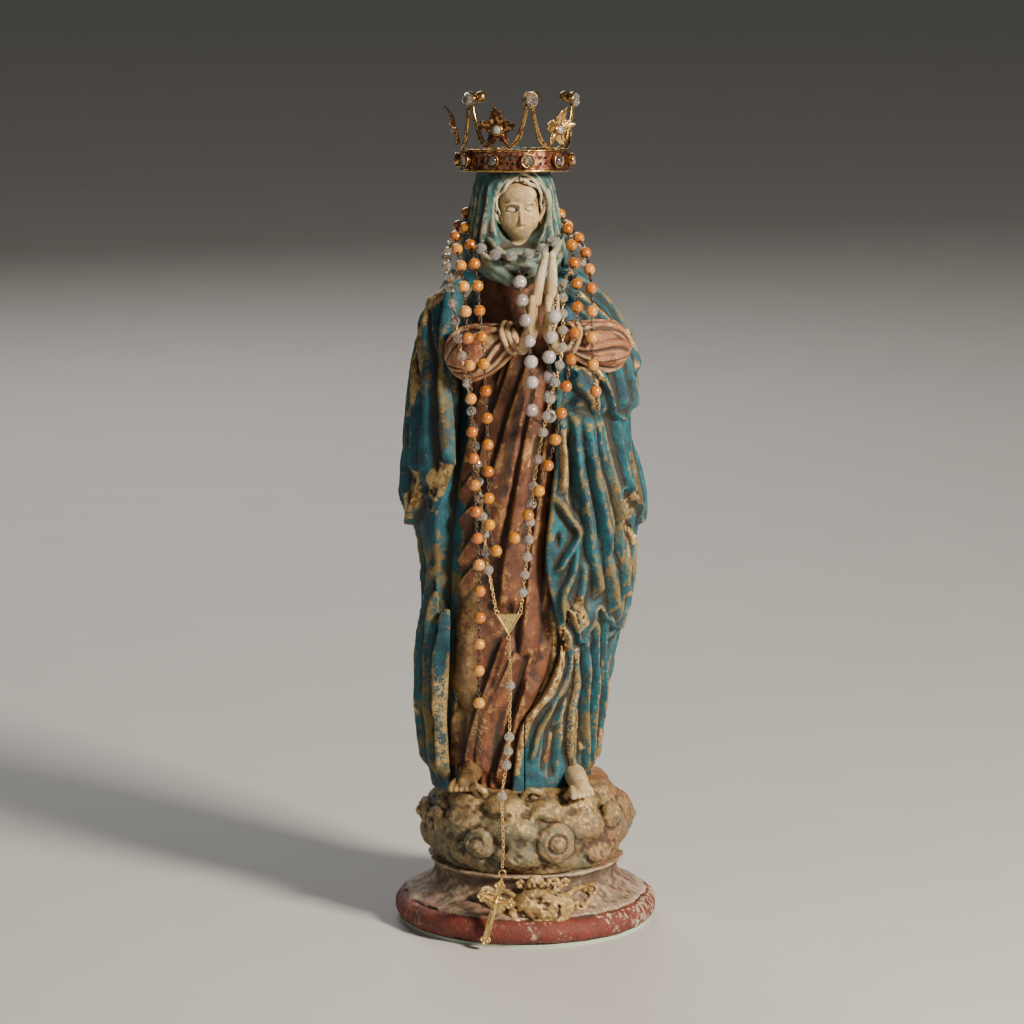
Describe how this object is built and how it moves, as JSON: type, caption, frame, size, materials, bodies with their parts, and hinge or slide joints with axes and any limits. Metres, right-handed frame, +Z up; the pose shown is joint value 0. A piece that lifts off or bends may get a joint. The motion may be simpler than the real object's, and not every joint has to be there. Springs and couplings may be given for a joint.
{
  "type": "devotional statue",
  "caption": "Painted plaster figure of a robed woman with praying hands on a cloud and turned plinth, with a lift-off jewelled crown and beaded rosaries.",
  "frame": {"origin": "centre of the plinth's underside, on the surface that the statue stands on", "axes": "+Z up, the figure faces -Y, +X towards the viewer's right"},
  "size_m": [0.153, 0.1553, 0.4883],
  "materials": {
    "felt": "worn pale green",
    "plinth_plaster": "worn paint over plaster",
    "gilt_plaster": "worn gilding over plaster",
    "cloud_plaster": "worn paint over plaster",
    "gown_plaster": "worn paint over plaster",
    "mantle_plaster": "worn paint and gilding over plaster",
    "veil_plaster": "worn paint over plaster",
    "flesh_plaster": "aged ivory paint",
    "sleeve_plaster": "worn paint over plaster",
    "iron": "rusted",
    "crown_brass": "antiqued gilt",
    "garnet": "polished cabochon",
    "crystal": "faceted",
    "pearl": "pearl",
    "dark_chain": "darkened",
    "gold_chain": "bright",
    "amber_bead": "polished",
    "peach_bead": "polished",
    "quartz_bead": "polished",
    "gold": "stamped and polished"
  },
  "bodies": {
    "statue": {"base_felt": "felt", "plinth": "plinth_plaster", "plinth_cartouche": "gilt_plaster", "cloud_mound": "cloud_plaster", "gown_body": "gown_plaster", "mantle_left": "mantle_plaster", "mantle_right": "mantle_plaster", "veil": "veil_plaster", "head": "flesh_plaster", "hand_left": "flesh_plaster", "hand_right": "flesh_plaster", "foot_left": "gilt_plaster", "foot_right": "flesh_plaster", "sleeve_left": "sleeve_plaster", "sleeve_right": "sleeve_plaster", "hand_wires": "iron", "core_rod": "iron", "amber_chain": "dark_chain", "amber_beads": "amber_bead", "peach_chain": "dark_chain", "peach_beads": "peach_bead", "crystal_chain": "gold_chain", "crystal_beads": "crystal", "quartz_chain": "dark_chain", "quartz_beads": "quartz_bead", "choker_chain": "dark_chain", "choker_beads": "crystal", "pendant_chain": "gold_chain", "pendant_beads": "crystal", "centre_medal": "gold", "pendant_ring": "gold"},
    "crown": {"crown_band": "crown_brass", "crown_rim_lower": "crown_brass", "crown_rim_upper": "crown_brass", "crown_rest_tabs": "crown_brass", "band_collets": "crown_brass", "crown_arches": "crown_brass", "arch_cups": "crown_brass", "arch_balls": "crown_brass", "leaf_finials": "crown_brass", "leaf_collets": "crown_brass", "band_garnets": "garnet", "band_crystals": "crystal", "arch_crystals": "crystal", "leaf_pearls": "pearl"},
    "crucifix": {"crucifix_cross": "gold", "crucifix_figure": "gold"}
  },
  "joints": [
    {"name": "crown_lift", "type": "slide", "parent": "statue", "child": "crown", "axis": [0, 0, 1], "range_m": [0, 0.09]},
    {"name": "crucifix_swing", "type": "hinge", "parent": "statue", "child": "crucifix", "pos_m": [-0.0136, -0.072, 0.0425], "axis": [-0.9659, 0, 0.2588], "range_deg": [0, 60]}
  ]
}
